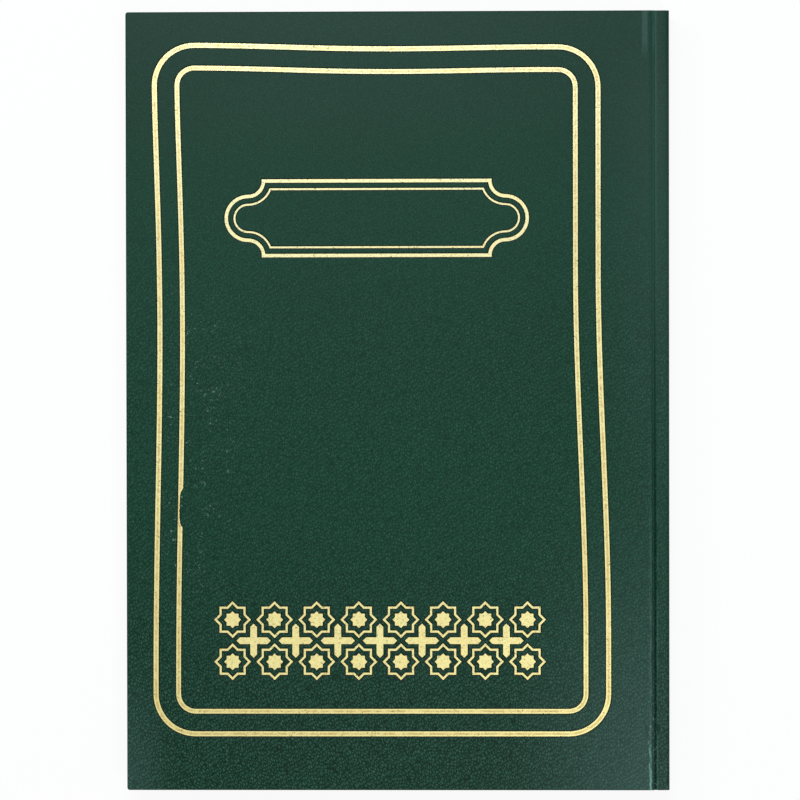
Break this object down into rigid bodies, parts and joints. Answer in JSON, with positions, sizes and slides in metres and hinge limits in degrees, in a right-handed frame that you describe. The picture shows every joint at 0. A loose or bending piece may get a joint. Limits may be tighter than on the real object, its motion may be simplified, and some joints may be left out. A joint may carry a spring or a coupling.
{
  "type": "ledger book",
  "caption": "Case-bound receipts ledger in dark green leatherette with gold border lines, hinged covers, a flat spine with pressed joint grooves and a sewn text block.",
  "frame": {"origin": "on the surface that the closed book lies on, under the middle of its outline", "axes": "+X towards the spine, +Y towards the head of the page, +Z out of the front cover"},
  "size_m": [0.2114, 0.303, 0.0164],
  "materials": {
    "leatherette": "grained satin leatherette; the front cover carries gold foil lines",
    "greyboard": "matt greyboard",
    "paper": "matt ledger paper",
    "endpaper": "matt endpaper",
    "thread": "waxed sewing thread",
    "gauze": "open-weave gauze",
    "band_cloth": "woven band",
    "kraft": "brown lining paper"
  },
  "bodies": {
    "text_block": {"sewn_folds": "paper", "sewing_thread_1": "thread", "sewing_thread_2": "thread", "sewing_thread_3": "thread", "sewing_thread_4": "thread", "sewing_thread_5": "thread", "mull": "gauze", "spine_lining": "kraft", "head_band": "band_cloth", "tail_band": "band_cloth", "front_endpaper_fold": "endpaper", "back_endpaper_fold": "endpaper", "spine_board": "greyboard", "spine_leatherette": "leatherette"},
    "front_cover": {"front_board": "greyboard", "front_leatherette": "leatherette", "front_pastedown": "endpaper"},
    "back_cover": {"back_board": "greyboard", "back_leatherette": "leatherette", "back_pastedown": "endpaper"},
    "front_flyleaf": {"front_flyleaf": "endpaper"},
    "back_flyleaf": {"back_flyleaf": "endpaper"},
    "section_01": {"section_01": "paper"},
    "section_02": {"section_02": "paper"},
    "section_03": {"section_03": "paper"},
    "section_04": {"section_04": "paper"},
    "section_05": {"section_05": "paper"},
    "section_06": {"section_06": "paper"},
    "section_07": {"section_07": "paper"},
    "section_08": {"section_08": "paper"},
    "section_09": {"section_09": "paper"},
    "section_10": {"section_10": "paper"},
    "section_11": {"section_11": "paper"},
    "section_12": {"section_12": "paper"}
  },
  "joints": [
    {"name": "front_cover_hinge", "type": "hinge", "parent": "text_block", "child": "front_cover", "pos_m": [0.10245, 0, 0.01602], "axis": [0, 1, 0], "range_deg": [0, 180]},
    {"name": "back_cover_hinge", "type": "hinge", "parent": "text_block", "child": "back_cover", "pos_m": [0.10245, 0, 0.00035], "axis": [0, -1, 0], "range_deg": [0, 180]},
    {"name": "front_flyleaf_turn", "type": "hinge", "parent": "text_block", "child": "front_flyleaf", "pos_m": [0.09483, 0, 0.01315], "axis": [0, 1, 0], "range_deg": [0, 138.6]},
    {"name": "section_01_turn", "type": "hinge", "parent": "text_block", "child": "section_01", "pos_m": [0.09483, 0, 0.01264], "axis": [0, 1, 0], "range_deg": [0, 124.2]},
    {"name": "section_02_turn", "type": "hinge", "parent": "text_block", "child": "section_02", "pos_m": [0.09483, 0, 0.01183], "axis": [0, 1, 0], "range_deg": [0, 103.5]},
    {"name": "section_03_turn", "type": "hinge", "parent": "text_block", "child": "section_03", "pos_m": [0.09483, 0, 0.01102], "axis": [0, 1, 0], "range_deg": [0, 82.8]},
    {"name": "section_04_turn", "type": "hinge", "parent": "text_block", "child": "section_04", "pos_m": [0.09483, 0, 0.01021], "axis": [0, 1, 0], "range_deg": [0, 62.1]},
    {"name": "section_05_turn", "type": "hinge", "parent": "text_block", "child": "section_05", "pos_m": [0.09483, 0, 0.0094], "axis": [0, 1, 0], "range_deg": [0, 41.4]},
    {"name": "section_06_turn", "type": "hinge", "parent": "text_block", "child": "section_06", "pos_m": [0.09483, 0, 0.00859], "axis": [0, 1, 0], "range_deg": [0, 20.7]},
    {"name": "section_07_turn", "type": "hinge", "parent": "text_block", "child": "section_07", "pos_m": [0.09483, 0, 0.00778], "axis": [0, -1, 0], "range_deg": [0, 20.7]},
    {"name": "section_08_turn", "type": "hinge", "parent": "text_block", "child": "section_08", "pos_m": [0.09483, 0, 0.00697], "axis": [0, -1, 0], "range_deg": [0, 41.4]},
    {"name": "section_09_turn", "type": "hinge", "parent": "text_block", "child": "section_09", "pos_m": [0.09483, 0, 0.00616], "axis": [0, -1, 0], "range_deg": [0, 62.1]},
    {"name": "section_10_turn", "type": "hinge", "parent": "text_block", "child": "section_10", "pos_m": [0.09483, 0, 0.00535], "axis": [0, -1, 0], "range_deg": [0, 82.8]},
    {"name": "section_11_turn", "type": "hinge", "parent": "text_block", "child": "section_11", "pos_m": [0.09483, 0, 0.00454], "axis": [0, -1, 0], "range_deg": [0, 103.5]},
    {"name": "section_12_turn", "type": "hinge", "parent": "text_block", "child": "section_12", "pos_m": [0.09483, 0, 0.00373], "axis": [0, -1, 0], "range_deg": [0, 124.2]},
    {"name": "back_flyleaf_turn", "type": "hinge", "parent": "text_block", "child": "back_flyleaf", "pos_m": [0.09483, 0, 0.00323], "axis": [0, -1, 0], "range_deg": [0, 138.6]}
  ],
  "couplings": [
    {"joint": "front_flyleaf_turn", "follows": "front_cover_hinge", "ratio": 0.77},
    {"joint": "section_01_turn", "follows": "front_cover_hinge", "ratio": 0.69},
    {"joint": "section_02_turn", "follows": "front_cover_hinge", "ratio": 0.575},
    {"joint": "section_03_turn", "follows": "front_cover_hinge", "ratio": 0.46},
    {"joint": "section_04_turn", "follows": "front_cover_hinge", "ratio": 0.345},
    {"joint": "section_05_turn", "follows": "front_cover_hinge", "ratio": 0.23},
    {"joint": "section_06_turn", "follows": "front_cover_hinge", "ratio": 0.115},
    {"joint": "section_07_turn", "follows": "back_cover_hinge", "ratio": 0.115},
    {"joint": "section_08_turn", "follows": "back_cover_hinge", "ratio": 0.23},
    {"joint": "section_09_turn", "follows": "back_cover_hinge", "ratio": 0.345},
    {"joint": "section_10_turn", "follows": "back_cover_hinge", "ratio": 0.46},
    {"joint": "section_11_turn", "follows": "back_cover_hinge", "ratio": 0.575},
    {"joint": "section_12_turn", "follows": "back_cover_hinge", "ratio": 0.69},
    {"joint": "back_flyleaf_turn", "follows": "back_cover_hinge", "ratio": 0.77}
  ]
}
